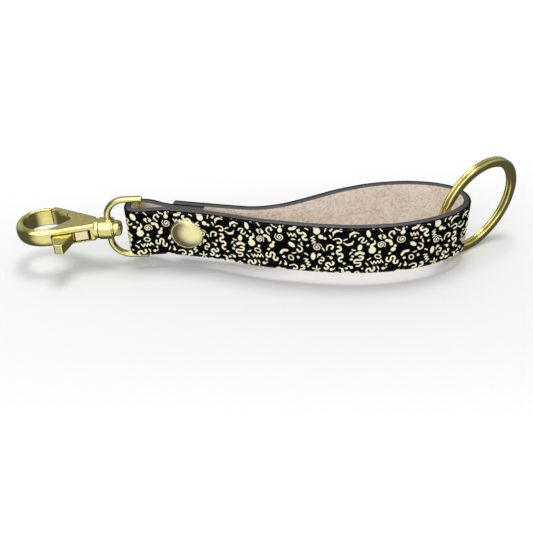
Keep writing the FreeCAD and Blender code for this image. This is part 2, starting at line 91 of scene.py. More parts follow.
def new_object(name, verts, faces, materials, body, replaces=(), smooth=True):
    """A mesh piece that rides on a body, takes a slot's finish and stands for nodes."""
    mesh = bpy.data.meshes.new(name)
    mesh.from_pydata([tuple(v) for v in verts], [], faces)
    for material in materials:
        mesh.materials.append(material)
    mesh.update()
    obj = bpy.data.objects.new(name, mesh)
    bpy.context.scene.collection.objects.link(obj)
    if smooth:
        mesh.polygons.foreach_set("use_smooth", [True] * len(mesh.polygons))
    finish_piece(obj, body, replaces)
    return obj


def finish_piece(obj, body, replaces=()):
    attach(obj, body)
    if replaces:
        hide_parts(*replaces)
    return obj


def outward(obj, sharp=40):
    """Turns the faces outwards and keeps edges sharper than an angle crisp."""
    work = bmesh.new()
    work.from_mesh(obj.data)
    bmesh.ops.recalc_face_normals(work, faces=work.faces)
    limit = math.radians(sharp)
    for edge in work.edges:
        if len(edge.link_faces) == 2:
            edge.smooth = edge.calc_face_angle(0.0) < limit
    work.to_mesh(obj.data)
    work.free()
    return obj


def grid_tube(rings, closed_ends=True):
    """Vertices and faces of a tube through rings of points, with flat ends."""
    count = len(rings[0])
    verts = [p for ring in rings for p in ring]
    faces = []
    for i in range(len(rings) - 1):
        for j in range(count):
            k = (j + 1) % count
            a, b = i * count, (i + 1) * count
            faces.append((a + j, a + k, b + k, b + j))
    if closed_ends:
        last = (len(rings) - 1) * count
        faces.append(tuple(reversed(range(count))))
        faces.append(tuple(range(last, last + count)))
    return verts, faces


def round_nose(mesh, centre, height, depth, wall):
    """Rolls the outer wall of the hook's eye over, above and below its middle."""
    spots = [vertex.co for vertex in mesh.data.vertices]
    sectors = {}
    for spot in spots:
        arm = Vector((spot.x - centre.x, spot.y - centre.y))
        key = round(math.degrees(math.atan2(arm.y, arm.x)) / 4)
        sectors[key] = max(sectors.get(key, 0.0), arm.length)
    middle = centre.z
    for spot in spots:
        arm = Vector((spot.x - centre.x, spot.y - centre.y))
        angle = math.degrees(math.atan2(arm.y, arm.x)) / 4
        low = math.floor(angle)
        near, far = sectors.get(low), sectors.get(low + 1)
        fade = min(max((centre.x + 7.5 * MM - spot.x) / (4 * MM), 0.0), 1.0)
        if fade == 0 or near is None or far is None:
            continue
        rim = near + (far - near) * (angle - low)
        part = min(max((arm.length - rim + wall) / wall, 0.0), 1.0)
        part = part * part * (3 - 2 * part)
        rise = min(abs(spot.z - middle) / (height / 2), 0.995)
        inset = depth * (1 - math.sqrt(1 - rise * rise)) * part * fade
        spot.x -= arm.x / arm.length * inset
        spot.y -= arm.y / arm.length * inset


def cast_copy(name, node, material, voxel, passes, body):
    """A CAD node's shape with its edges softened, as a polished casting has."""
    mesh = frame["nodes"][node].data.copy()
    obj = bpy.data.objects.new(name, mesh)
    bpy.context.scene.collection.objects.link(obj)
    remesh = obj.modifiers.new("remesh", "REMESH")
    remesh.mode = "VOXEL"
    remesh.voxel_size = voxel
    remesh.use_smooth_shade = True
    soften = obj.modifiers.new("soften", "SMOOTH")
    soften.factor = 0.5
    soften.iterations = passes
    view = bpy.context.evaluated_depsgraph_get()
    baked = bpy.data.meshes.new_from_object(obj.evaluated_get(view))
    obj.modifiers.clear()
    obj.data = baked
    baked.materials.clear()
    baked.materials.append(material)
    baked.polygons.foreach_set("use_smooth", [True] * len(baked.polygons))
    finish_piece(obj, body, [node])
    return obj


# -------------------------------------------------------------- the strap's route

def route_pieces(points):
    """Straight runs and tangent arcs: each arc takes 0.45 of its shorter run."""
    pieces, last = [], points[0]
    for before, here, after in zip(points, points[1:], points[2:]):
        first, second = here - before, after - here
        turn = -first.angle_signed(second)
        reach = 0.45 * min(first.length, second.length)
        bend = reach / abs(math.tan(turn / 2))
        start = here - first.normalized() * reach
        pieces.append((last, start, 0.0, (start - last).length))
        pieces.append((start, first.normalized(), turn, bend * abs(turn)))
        last = here + second.normalized() * reach
    pieces.append((last, points[-1], 0.0, (points[-1] - last).length))
    return pieces


PIECES = route_pieces(STRAP_ROUTE)
STRAP_LENGTH = sum(p[3] for p in PIECES)


def on_route(along):
    """The point, heading and outward normal at a length along the route."""
    for piece in PIECES:
        if along <= piece[3] or piece is PIECES[-1]:
            break
        along -= piece[3]
    if piece[2] == 0.0:
        heading = (piece[1] - piece[0]).normalized()
        point = piece[0] + heading * along
    else:
        start, heading, turn, length = piece
        radius = length / abs(turn)
        side = math.copysign(1, turn)
        left = Vector((-heading.y, heading.x)) * side
        swept = along / radius
        centre = start + left * radius
        spin = Matrix.Rotation(side * swept, 2)
        point = centre - spin @ (left * radius)
        heading = spin @ heading
    return point, heading, Vector((heading.y, -heading.x))


def strap_point(along, offset, height):
    point, _, normal = on_route(along)
    flat = point + normal * offset
    return Vector((flat.x, flat.y, height))


# --------------------------------------------------------------------- materials

class Shader:
    """A material with a Principled shader and short ways to add nodes."""

    def __init__(self, name):
        self.material = bpy.data.materials.new(name)
        self.material.use_nodes = True
        self.tree = self.material.node_tree
        self.surface = self.tree.nodes["Principled BSDF"]
        self.place = self.add("ShaderNodeTexCoord").outputs["Object"]

    def add(self, kind, **values):
        node = self.tree.nodes.new(kind)
        for key, value in values.items():
            setattr(node, key, value)
        return node

    def link(self, source, target):
        self.tree.links.new(source, target)

    def set(self, **values):
        for key, value in values.items():
            self.surface.inputs[key.replace("_", " ")].default_value = value

    def noise(self, scale, detail=3.0, roughness=0.55, stretch=None, distortion=0.0):
        node = self.add("ShaderNodeTexNoise")
        node.inputs["Scale"].default_value = scale
        node.inputs["Detail"].default_value = detail
        node.inputs["Roughness"].default_value = roughness
        node.inputs["Distortion"].default_value = distortion
        source = self.place
        if stretch:
            mapping = self.add("ShaderNodeMapping")
            mapping.inputs["Scale"].default_value = stretch
            self.link(source, mapping.inputs["Vector"])
            source = mapping.outputs["Vector"]
        self.link(source, node.inputs["Vector"])
        return node.outputs["Fac"]

    def cells(self, scale, feature="SMOOTH_F1"):
        node = self.add("ShaderNodeTexVoronoi", feature=feature)
        node.inputs["Scale"].default_value = scale
        self.link(self.place, node.inputs["Vector"])
        return node.outputs["Distance"]

    def ramp(self, source, stops):
        node = self.add("ShaderNodeValToRGB")
        points = node.color_ramp.elements
        while len(points) < len(stops):
            points.new(0.5)
        for point, (place, colour) in zip(points, stops):
            point.position = place
            point.color = (*colour, 1.0)
        self.link(source, node.inputs["Fac"])
        return node.outputs["Color"]

    def span(self, source, low, high, start=0.3, end=0.7):
        node = self.add("ShaderNodeMapRange")
        node.inputs["From Min"].default_value = start
        node.inputs["From Max"].default_value = end
        node.inputs["To Min"].default_value = low
        node.inputs["To Max"].default_value = high
        self.link(source, node.inputs["Value"])
        return node.outputs["Result"]

    def mix(self, share, one, other, blend="MIX"):
        node = self.add("ShaderNodeMix", data_type="RGBA", blend_type=blend)
        self.feed(node.inputs[0], share)
        self.feed(node.inputs[6], one)
        self.feed(node.inputs[7], other)
        return node.outputs[2]

    def feed(self, socket, value):
        if isinstance(value, bpy.types.NodeSocket):
            self.link(value, socket)
        elif isinstance(value, tuple):
            socket.default_value = (*value, 1.0)
        else:
            socket.default_value = value

    def relief(self, source, depth, strength=1.0, before=None):
        node = self.add("ShaderNodeBump")
        node.inputs["Strength"].default_value = strength
        node.inputs["Distance"].default_value = depth
        self.link(source, node.inputs["Height"])
        if before is not None:
            self.link(before, node.inputs["Normal"])
        return node.outputs["Normal"]

    def to(self, name, source):
        self.link(source, self.surface.inputs[name])


def brass(name, light, dark, smooth, rough, grain, brushed=None):
    """Brass with faint tarnish, uneven polish and fine handling marks."""
    s = Shader(name)
    s.set(Metallic=1.0)
    tarnish = s.noise(420.0, 5.0, 0.6)
    s.to("Base Color", s.ramp(tarnish, [(0.32, dark), (0.62, light)]))
    polish = s.noise(1500.0, 4.0, 0.65, stretch=brushed)
    s.to("Roughness", s.span(polish, smooth, rough))
    waves = s.relief(s.noise(260.0, 2.0), 0.04 * MM, 0.16)
    marks = s.noise(grain, 3.0, 0.6, stretch=brushed)
    s.to("Normal", s.relief(marks, 0.004 * MM, 0.16, waves))
    return s.material


def leather_face(name, light, dark, rough, shine):
    """Coated leather: a fine pebbled grain under a satin coat."""
    s = Shader(name)
    tone = s.noise(900.0, 4.0, 0.6)
    s.to("Base Color", s.ramp(tone, [(0.3, dark), (0.7, light)]))
    s.to("Roughness", s.span(s.noise(2600.0, 3.0), rough - 0.06, rough + 0.08))
    s.set(Specular_IOR_Level=shine)
    pebbles = s.relief(s.cells(2300.0), 0.05 * MM, 0.35)
    s.to("Normal", s.relief(s.noise(6000.0, 3.0), 0.012 * MM, 0.5, pebbles))
    return s.material


def suede():
    """Beige-pink suede: cloudy tone, brushed nap and a speckle of darker fibres."""
    s = Shader("suede_lining")
    clouds = s.noise(110.0, 4.0, 0.6, distortion=0.4)
    base = s.ramp(clouds, [(0.3, (0.87, 0.755, 0.665)), (0.5, (0.95, 0.845, 0.75)),
                           (0.7, (0.99, 0.90, 0.81))])
    nap = s.noise(850.0, 5.0, 0.75, distortion=0.6)
    fibres = s.ramp(nap, [(0.36, (0.56, 0.52, 0.49)), (0.5, (0.88, 0.87, 0.855)),
                          (0.66, (1.0, 1.0, 1.0))])
    s.to("Base Color", s.mix(0.85, base, fibres, "MULTIPLY"))
    s.set(Roughness=0.95, Specular_IOR_Level=0.1, Sheen_Weight=0.35, Sheen_Roughness=0.45)
    s.surface.inputs["Sheen Tint"].default_value = (0.95, 0.85, 0.78, 1.0)
    coarse = s.relief(nap, 0.16 * MM, 0.7)
    s.to("Normal", s.relief(s.noise(4200.0, 3.0, 0.7), 0.06 * MM, 0.5, coarse))
    return s.material


def edge_paint():
    """Dark grey edge paint, satin, with the faint ripple of a brushed coat."""
    s = Shader("edge_paint")
    tone = s.noise(700.0, 4.0)
    s.to("Base Color", s.ramp(tone, [(0.3, (0.046, 0.045, 0.046)),
                                     (0.7, (0.070, 0.067, 0.068))]))
    s.to("Roughness", s.span(s.noise(1900.0), 0.42, 0.6))
    s.set(Specular_IOR_Level=0.4)
    s.to("Normal", s.relief(s.noise(1500.0, 3.0), 0.05 * MM, 0.4))
    return s.material


def pale_floor():
    """A white sweep with painted shade and a painted glow: its colour darkens in a band round the
    object, and light of its own rises away from it.
    """
    s = Shader("studio_floor")
    s.set(Roughness=1.0, Specular_IOR_Level=0.0)
    split = s.add("ShaderNodeSeparateXYZ")
    s.link(s.place, split.inputs[0])
    depth = s.span(split.outputs["Y"], 0.0, 1.0, -0.16, 0.26)
    # Painted shade: the floor's colour is darker in a band round the object and lighter in front of
    # and behind it.
    tones = ((0.0, 0.86), (0.095, 0.838), (0.167, 0.81), (0.214, 0.78), (0.262, 0.758),
             (0.381, 0.75), (0.43, 0.76), (0.50, 0.79), (0.571, 0.825), (0.667, 0.87))
    s.to("Base Color", s.ramp(depth, [(place, (tone, tone, tone)) for place, tone in tones]))
    # Painted glow: the floor gives off white light of its own, none near the object and more with
    # distance from it, so the far floor stays white.
    reach = s.add("ShaderNodeVectorMath", operation="LENGTH")
    s.link(s.place, reach.inputs[0])
    s.set(Emission_Color=(1.0, 1.0, 1.0, 1.0))
    s.to("Emission Strength", s.span(reach.outputs["Value"], 0.0, 0.5, 0.26, 1.3))
    return s.material


BRASS_LIGHT, BRASS_DARK = (0.79, 0.71, 0.28), (0.68, 0.60, 0.20)
HARDWARE = brass("hardware_brass", BRASS_LIGHT, BRASS_DARK, 0.13, 0.21, 2600.0)
RIVET = brass("rivet_brass", (0.90, 0.83, 0.45), (0.84, 0.76, 0.37), 0.20, 0.28, 3000.0)
RING = brass("ring_brass", (0.80, 0.72, 0.27), (0.69, 0.61, 0.19), 0.14, 0.22, 2200.0)
STRIP = brass("spring_strip", (0.86, 0.77, 0.47), (0.78, 0.68, 0.38), 0.2, 0.3, 2500.0)
BLACK = leather_face("printed_black", (0.0022, 0.0021, 0.0021), (0.0008, 0.0008, 0.0008),
                     0.65, 0.03)
CREAM = leather_face("printed_cream", (0.90, 0.86, 0.60), (0.80, 0.76, 0.50), 0.6, 0.2)
RAW = leather_face("raw_cut", (0.80, 0.74, 0.64), (0.66, 0.60, 0.50), 0.9, 0.1)
SUEDE = suede()
PAINT = edge_paint()


# ------------------------------------------------------------------ the doodles

def smooth_line(points, steps=7):
    """A Catmull-Rom line through points, as a list of points."""
    line = []
    padded = [points[0] * 2 - points[1]] + list(points) + [points[-1] * 2 - points[-2]]
    for a, b, c, d in zip(padded, padded[1:], padded[2:], padded[3:]):
        for i in range(steps):
            t = i / steps
            line.append(0.5 * ((2 * b) + (c - a) * t + (2 * a - 5 * b + 4 * c - d) * t * t
                               + (3 * b - a - 3 * c + d) * t ** 3))
    line.append(points[-1])
    return line


def stroke(points, width, ends=(1.0, 1.0), steps=7):
    """Outline of a brush stroke: its width goes from one end's share to the other's."""
    line = smooth_line(points, steps)
    left, right = [], []
    count = len(line) - 1
    for i, point in enumerate(line):
        way = (line[min(i + 1, count)] - line[max(i - 1, 0)]).normalized()
        share = i / count
        swell = ends[0] + (ends[1] - ends[0]) * share
        half = width / 2 * swell
        normal = Vector((-way.y, way.x))
        left.append(point + normal * half)
        right.append(point - normal * half)
    caps = []
    for point, edge, sign in ((line[-1], left[-1], -1), (line[0], right[0], -1)):
        caps.append([point + Matrix.Rotation(sign * math.pi * k / 5, 2) @ (edge - point)
                     for k in range(1, 5)])
    return left + caps[0] + right[::-1] + caps[1]


def oval(centre, a, b, turn=0.0, count=18):
    spin = Matrix.Rotation(turn, 2)
    return [centre + spin @ Vector((a * math.cos(2 * math.pi * k / count),
                                    b * math.sin(2 * math.pi * k / count)))
            for k in range(count)]


def wave(rng):
    """A winding squiggle."""
    bends, step, height = rng.choice((2, 3, 4)), rng.uniform(1.3, 1.75), rng.uniform(0.8, 1.4)
    lean = rng.uniform(-0.35, 0.35)
    points = []
    for i in range(bends * 4 + 1):
        angle = i * math.pi / 4
        rise = height * math.sin(angle)
        along = step * angle / math.pi + lean * rise - 0.35 * math.sin(2 * angle)
        points.append(Vector((along, rise)))
    return [stroke(points, rng.uniform(0.52, 0.8), (1.0, rng.uniform(0.55, 1.0)), 3)]


def spiral(rng):
    reach, turns = rng.uniform(1.5, 2.0), rng.uniform(1.4, 1.7)
    points = []
    for i in range(13):
        share = i / 12
        radius = 0.3 + (reach - 0.3) * share
        points.append(Vector((radius, 0)) @ Matrix.Rotation(turns * 2 * math.pi * share, 2))
    return [stroke(points, 0.4, (1.2, 0.7)), oval(points[0], 0.4, 0.4)]


def tadpole(rng):
    tail = [Vector((0, 0)), Vector((1.9, 0.9)), Vector((3.0, 0.1)), Vector((4.2, 0.6))]
    return [oval(Vector((0, 0)), rng.uniform(1.2, 1.5), rng.uniform(1.2, 1.45)),
            stroke(tail, 1.1, (1.2, 0.35))]


def egg(rng):
    return [oval(Vector((0, 0)), rng.uniform(1.1, 1.75), rng.uniform(0.75, 0.98))]


def bean(rng):
    points = [Vector((-1.3, 0.2)), Vector((0, -0.35)), Vector((1.3, 0.3))]
    return [stroke(points, rng.uniform(1.0, 1.25))]


def crescent(rng):
    points = [Vector((-1.7, -0.5)), Vector((-0.9, 0.55)), Vector((0.5, 0.75)), Vector((1.8, -0.3))]
    return [stroke(points[:3], 0.85, (0.35, 1.1)), stroke(points[1:], 0.95, (1.0, 0.4))]


def hook_curl(rng):
    points = [Vector((-1.5, -1.0)), Vector((-0.9, 0.6)), Vector((0.3, 1.0)), Vector((1.1, 0.2)),
              Vector((0.5, -0.6))]
    return [stroke(points, 0.62, (0.7, 1.1)), oval(points[-1], 0.45, 0.45)]


def zigzag(rng):
    count = rng.choice((6, 7, 8))
    points = [Vector((i * 0.62, 0.62 * (-1) ** i)) for i in range(count)]
    strokes = []
    for a, b in zip(points, points[1:]):
        strokes.append(stroke([a, (a + b) / 2, b], 0.42))
    return strokes


def burst(rng):
    strokes = []
    arms = rng.choice((5, 6))
    for k in range(arms):
        angle = 2 * math.pi * k / arms + 0.3
        way = Vector((math.cos(angle), math.sin(angle)))
        reach = rng.uniform(1.1, 1.6)
        strokes.append(stroke([way * 0.25, way * reach * 0.6, way * reach], 0.55, (0.5, 1.0)))
    return strokes


def twin_beads(rng):
    return [oval(Vector((0, 0)), 0.95, 0.85), oval(Vector((1.45, 0.7)), 0.55, 0.5),
            stroke([Vector((0, 0)), Vector((0.8, 0.3)), Vector((1.4, 0.7))], 0.5)]


def loop(rng):
    points = [Vector((1.15 * math.cos(a), 0.8 * math.sin(a)))
              for a in (0.3, 1.3, 2.3, 3.3, 4.3, 5.3, 6.0)]
    return [stroke(points, 0.42)]


def comma(rng):
    tail = [Vector((0, 0)), Vector((0.75, 0.25)), Vector((1.15, 0.95))]
    return [oval(Vector((0, 0)), 0.62, 0.58), stroke(tail, 0.6, (1.0, 0.4))]


def dot(rng):
    return [oval(Vector((0, 0)), rng.uniform(0.36, 0.62), rng.uniform(0.34, 0.55), count=12)]


def dash(rng):
    return [stroke([Vector((-0.6, 0)), Vector((0, 0.12)), Vector((0.6, 0))], 0.48)]


DOODLES = [(wave, 7), (tadpole, 4), (spiral, 3), (burst, 2), (crescent, 4), (egg, 5), (hook_curl, 6),
           (twin_beads, 3), (zigzag, 4), (bean, 4), (wave, 2), (loop, 3), (hook_curl, 3), (comma, 12),
           (dash, 16), (dot, 34)]
TILE = 43.5      # length of one repeat, mm
COLUMNS = 43     # cells along one repeat, for the search for neighbours
CLEAR = 0.42     # smallest gap between two doodles, mm
BLEED = 1.2      # how far past the strap's edges a doodle may start, mm
PRINT_SEED, STUD_SEED = 20260, 7
MOST_TRIES = 260


def placed(shapes, spin, shift):
    turn = Matrix.Rotation(spin, 2)
    return [[turn @ p + shift for p in shape] for shape in shapes]


def far_enough(points, taken, cell):
    for p in points:
        column, row = int(p.x // cell), int(p.y // cell)
        for i in (-1, 0, 1):
            for j in (-1, 0, 1):
                for q in taken.get(((column + i) % int(TILE / cell), row + j), ()):
                    gap = abs(p.x - q.x)
                    gap = min(gap, TILE - gap)
                    if gap * gap + (p.y - q.y) ** 2 < CLEAR * CLEAR:
                        return False
    return True


def filled(shape):
    """The outline with points inside it, so that nothing is put within it."""
    middle = sum(shape, Vector((0, 0))) / len(shape)
    return shape + [p.lerp(middle, 0.5) for p in shape] + [middle]


def doodle_tile(width):
    """One repeat of the print: doodles packed without touching, wrapped along X."""
    rng = random.Random(PRINT_SEED)
    cell = TILE / COLUMNS
    taken, tile = {}, []
    for make, wanted in DOODLES:
        done, tries = 0, 0
        while done < wanted and tries < MOST_TRIES:
            tries += 1
            shapes = make(rng)
            shift = Vector((rng.uniform(0, TILE), rng.uniform(-BLEED, width + BLEED)))
            shapes = placed(shapes, rng.uniform(0, 2 * math.pi), shift)
            points = [Vector((p.x % TILE, p.y)) for shape in shapes for p in filled(shape)]
            if far_enough(points, taken, cell):
                for p in points:
                    spot = (int(p.x // cell) % COLUMNS, int(p.y // cell))
                    taken.setdefault(spot, []).append(p)
                tile.append(shapes)
                done += 1
    return tile


def strap_print():
    """Flat triangles of the strap's printed face, and which of them are cream."""
    width = (STRAP_WIDTH - 2 * COAT) / MM
    length = STRAP_LENGTH / MM
    tile = doodle_tile(width)
    points, edges, faces = [], [], []

    def polygon(outline):
        around = sum(a.cross(b) for a, b in zip(outline, outline[1:] + outline[:1]))
        if around < 0:
            outline = outline[::-1]
        start = len(points)
        points.extend(outline)
        faces.append(list(range(start, start + len(outline))))

    polygon([Vector(p) for p in ((0, 0), (length, 0), (length, width), (0, width))])
    for i in range(-1, int(length / TILE) + 2):
        for shapes in tile:
            for shape in shapes:
                moved = [p + Vector((i * TILE, 0)) for p in shape]
                if any(0 < p.x < length and 0 < p.y < width for p in moved):
                    polygon(moved)
    lines = int(length / 0.8)
    for i in range(1, lines):
        x = length * i / lines
        points.extend((Vector((x, 0)), Vector((x, width))))
        edges.append((len(points) - 2, len(points) - 1))
    for i in range(1, 5):
        y = width * i / 5
        points.extend((Vector((0, y)), Vector((length, y))))
        edges.append((len(points) - 2, len(points) - 1))
    flat, _, triangles, _, _, origins = delaunay_2d_cdt(points, edges, faces, 0, 1e-5, True)
    kept = [(tri, len(origin) > 1) for tri, origin in zip(triangles, origins) if 0 in origin]
    used = sorted({v for tri, _ in kept for v in tri})
    index = {v: i for i, v in enumerate(used)}
    flat = [flat[v] for v in used]
    return flat, [([index[v] for v in tri], cream) for tri, cream in kept]


def printed_leather():
    """The outer leather: printed face, plain back and closed edges."""
    flat, triangles = strap_print()
    low = STRAP_LOW + COAT
    verts = [strap_point(p.x * MM, STRAP_HALF, low + p.y * MM) for p in flat]
    verts += [strap_point(p.x * MM, GLUE_HALF, low + p.y * MM) for p in flat]
    count = len(flat)
    faces = [tri for tri, _ in triangles]
    tones = [1 if cream else 0 for _, cream in triangles]
    uses = {}
    for tri in faces:
        for a, b in zip(tri, tri[1:] + tri[:1]):
            uses[(a, b)] = True
    border = [edge for edge in uses if (edge[1], edge[0]) not in uses]
    back = [[v + count for v in reversed(tri)] for tri in faces]
    sides = [(b, a, a + count, b + count) for a, b in border]
    tones += [0] * len(back)
    tones += [2 if flat[a].x < 1e-6 and flat[b].x < 1e-6 else 0 for a, b in border]
    obj = new_object("printed_leather", verts, faces + back + sides, [BLACK, CREAM, RAW], "strap",
                     ["strap_outer_leather"])
    obj.data.polygons.foreach_set("material_index", tones)
    return outward(obj)


# --------------------------------------------------------- lining and edge coats

def band(name, section, step, material, replaces):
    """A section of (offset, height) points carried along the strap's route."""
    count = int(STRAP_LENGTH / step)
    rings = []
    for i in range(count + 1):
        along = STRAP_LENGTH * i / count
        point, _, normal = on_route(along)
        ring = []
        for offset, height in section(along):
            flat = point + normal * offset
            ring.append((flat.x, flat.y, height))
        rings.append(ring)
    verts, faces = grid_tube(rings)
    obj = new_object(name, verts, faces, [material], "strap", replaces)
    return outward(obj)


def suede_lining():
    rows = 16
    low, high = STRAP_LOW + COAT, STRAP_HIGH - COAT

    def section(along):
        outer = [(-GLUE_HALF, low), (-GLUE_HALF, high)]
        inner = [(-STRAP_HALF, high + (low - high) * i / rows) for i in range(rows + 1)]
        return outer + inner

    return band("suede_lining", section, 0.7 * MM, SUEDE, ["strap_suede_lining"])


def edge_coat(name, edge, way, node):
    """A bead of paint over both layers that slopes down to the printed face."""
    half = STRAP_HALF + 0.015 * MM

    def section(along):
        ripple = 0.03 * MM * abs(math.sin(along / MM * 1.7) * math.sin(along / MM * 0.37))
        points = []
        for i in range(11):
            across = -1 + 2 * i / 10
            corner = 0.16 * MM * max(0.0, abs(across) - 0.75) ** 2 / 0.0625
            drop = EDGE_SLOPE * max(0.0, (across + 0.35) / 1.35) ** 1.3
            points.append((half * across, edge + way * (ripple + corner + drop)))
        floor = edge + way * (COAT + 0.02 * MM)
        return points + [(half, edge + way * (EDGE_SLOPE + 0.25 * MM)),
                         (0.9 * half, floor + way * EDGE_SLOPE), (-half, floor)]

    return band(name, section, 0.8 * MM, PAINT, [node])


# ------------------------------------------------------------------ brass pieces

def turned(name, profile, place, material, body, replaces, around=96):
    """A lathe piece: a closed profile of (radius, height) spun about local Z."""
    rings = []
    for k in range(around):
        angle = 2 * math.pi * k / around
        rings.append([place @ Vector((r * math.cos(angle), r * math.sin(angle), h))
                      for r, h in profile])
    rings.append(rings[0])
    verts, faces = grid_tube(rings, closed_ends=False)
    obj = new_object(name, verts, faces, [material], body, replaces)
    work = bmesh.new()
    work.from_mesh(obj.data)
    bmesh.ops.remove_doubles(work, verts=work.verts, dist=1e-7)
    bmesh.ops.dissolve_degenerate(work, edges=work.edges, dist=1e-8)
    work.to_mesh(obj.data)
    work.free()
    return outward(obj)


RIVET_TURN = math.radians(-12.47)


def rivet_cap(name, node, dome, away):
    """A domed cap with a rolled rim; away is 1 for the front and -1 for the back."""
    low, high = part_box(node)
    centre = (low + high) / 2
    out = Vector((math.sin(RIVET_TURN), -math.cos(RIVET_TURN), 0)) * away
    depth = dome / 2
    radius = (high.z - low.z) / 2
    base = centre - out * depth
    turn = out.to_track_quat("Z", "Y").to_matrix().to_4x4()
    place = Matrix.Translation(base) @ turn
    roll = 0.32 * MM
    profile = []
    steps = 22
    edge = radius - roll * 0.75
    for i in range(steps + 1):
        r = edge * i / steps
        profile.append((r, roll * 1.15 + (dome - roll * 1.15) * (1 - (r / edge) ** 2.3)))
    for i in range(1, 8):
        a = math.pi / 2 - math.pi * i / 8
        profile.append((radius - roll + roll * math.cos(a), roll + roll * math.sin(a)))
    profile += [(radius - roll * 1.6, 0.02 * MM), (radius - roll * 1.6, roll),
                (radius * 0.5, dome * 0.62), (0, dome * 0.78)]
    return turned(name, profile, place, RIVET, "strap", [node], 128)


RING_YAW, RING_TILT, RING_SPIN = math.radians(34.0), math.radians(-4.0), math.radians(210.0)


def split_ring():
    """Two coils of flattened wire, joined by a jog, with free ends."""
    low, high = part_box("split_ring")
    centre = (low + high) / 2
    radius, width, thick = 20.3 * MM, 3.4 * MM, 1.45 * MM
    rise = (thick + 0.1 * MM) / 2
    half_jog = math.radians(18.0)
    normal = Vector((math.cos(RING_YAW - math.pi / 2) * math.cos(RING_TILT),
                     math.sin(RING_YAW - math.pi / 2) * math.cos(RING_TILT), math.sin(RING_TILT)))
    across = Vector((math.cos(RING_YAW), math.sin(RING_YAW), 0))
    turn = Matrix((across, normal.cross(across), normal)).transposed().to_4x4()
    place = Matrix.Translation(centre) @ turn @ Matrix.Rotation(RING_SPIN, 4, "Z")
    steps, round_steps = 600, 22
    rings = []
    start, finish = half_jog, 4 * math.pi - half_jog
    for i in range(steps + 1):
        angle = start + (finish - start) * i / steps
        share = min(max((angle - (2 * math.pi - half_jog)) / (2 * half_jog), 0.0), 1.0)
        height = rise * (2 * share * share * (3 - 2 * share) - 1)
        near_end = min(angle - start, finish - angle) * radius / (0.5 * MM)
        shrink = math.sqrt(max(0.0, 1 - (1 - min(near_end, 1.0)) ** 2)) * 0.35 + 0.65
        ring = []
        for k in range(round_steps):
            a = 2 * math.pi * k / round_steps
            c, s = math.cos(a), math.sin(a)
            x = math.copysign(abs(c) ** 0.62, c) * width / 2 * shrink
            y = math.copysign(abs(s) ** 0.78, s) * thick / 2 * shrink
            r = radius - width / 2 + x
            ring.append(place @ Vector((r * math.cos(angle), r * math.sin(angle), height + y)))
        rings.append(ring)
    verts, faces = grid_tube(rings)
    obj = new_object("key_split_ring", verts, faces, [RING], "key_ring",
                     ["split_ring"])
    return outward(obj, 60)


def swivel_stud():
    """Shank and peened head: hammered flats on a stub of brass."""
    low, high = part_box("swivel_stud")
    axis = Vector((0, (low.y + high.y) / 2, AXIS_HEIGHT))
    head_end, head_radius = high.x, (high.z - low.z) / 2
    head_start = head_end - 3.0 * MM
    shank = 1.6 * MM
    rng = random.Random(STUD_SEED)
    around = 40
    rings = []
    profile = ((low.x, shank), (head_start, shank), (head_start, head_radius * 0.93),
               (head_start + 0.35 * MM, head_radius),
               (head_end - 0.9 * MM, head_radius * 0.98),
               (head_end - 0.35 * MM, head_radius * 0.78), (head_end, head_radius * 0.42))
    for x, radius in profile:
        rings.append([(x, axis.y + radius * math.cos(2 * math.pi * k / around),
                       axis.z + radius * math.sin(2 * math.pi * k / around)) for k in range(around)])
    verts, faces = grid_tube(rings)
    obj = new_object("peened_stud", verts, faces, [HARDWARE], "hook", ["swivel_stud"],
                     smooth=False)
    work = bmesh.new()
    work.from_mesh(obj.data)
    for k in range(9):
        angle = 2 * math.pi * k / 9 + rng.uniform(-0.2, 0.2)
        lean = rng.uniform(0.3, 0.9)
        normal = Vector((lean, math.cos(angle), math.sin(angle))).normalized()
        point = Vector((head_end - 0.6 * MM, axis.y, axis.z)) + normal * head_radius * 0.76
        parts = list(work.verts) + list(work.edges) + list(work.faces)
        cut = bmesh.ops.bisect_plane(work, geom=parts, plane_co=point, plane_no=normal,
                                     clear_outer=True)
        rim = [e for e in cut["geom_cut"] if isinstance(e, bmesh.types.BMEdge)]
        bmesh.ops.contextual_create(work, geom=rim)
    work.to_mesh(obj.data)
    work.free()
    return outward(obj, 12)


def frame_point(x, y):
    return Vector((x * MM, y * MM))


def smooth_corners(points, radius):
    """The route with each corner replaced by a short arc of points."""
    line = [points[0]]
    for before, here, after in zip(points, points[1:], points[2:]):
        a = here + (before - here).normalized() * radius
        b = here + (after - here).normalized() * radius
        for i in range(7):
            t = i / 6
            line.append(a.lerp(here, t).lerp(here.lerp(b, t), t))
    line.append(points[-1])
    return line


def leaf_spring():
    """The flat strip that pushes the lever back, folded in the slot."""
    low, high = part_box("lever_spring")
    corner = frame_point(-47.9, 3.2)
    route = [corner + Vector((x * MM, y * MM)) for x, y in
             ((-24.45, -1.6), (-25.15, -4.5), (-20.4, -3.3), (-21.7, 0.4))]
    half = 0.17 * MM
    line = smooth_corners(route, 0.35 * MM)
    rings = []
    for i, point in enumerate(line):
        way = (line[min(i + 1, len(line) - 1)] - line[max(i - 1, 0)]).normalized()
        side = Vector((-way.y, way.x)) * half
        one, other = point + side, point - side
        rings.append([(one.x, one.y, low.z), (one.x, one.y, high.z),
                      (other.x, other.y, high.z), (other.x, other.y, low.z)])
    verts, faces = grid_tube(rings)
    obj = new_object("leaf_spring", verts, faces, [STRIP], "hook", ["lever_spring"])
    outward(obj)
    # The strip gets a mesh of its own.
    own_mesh(obj)
    return obj


def keep_cad(node, material):
    """A CAD node that stays as it is, with a better material."""
    data = frame["nodes"][node].data
    data.materials.clear()
    data.materials.append(material)


# --------------------------------------------------------------- stage and camera

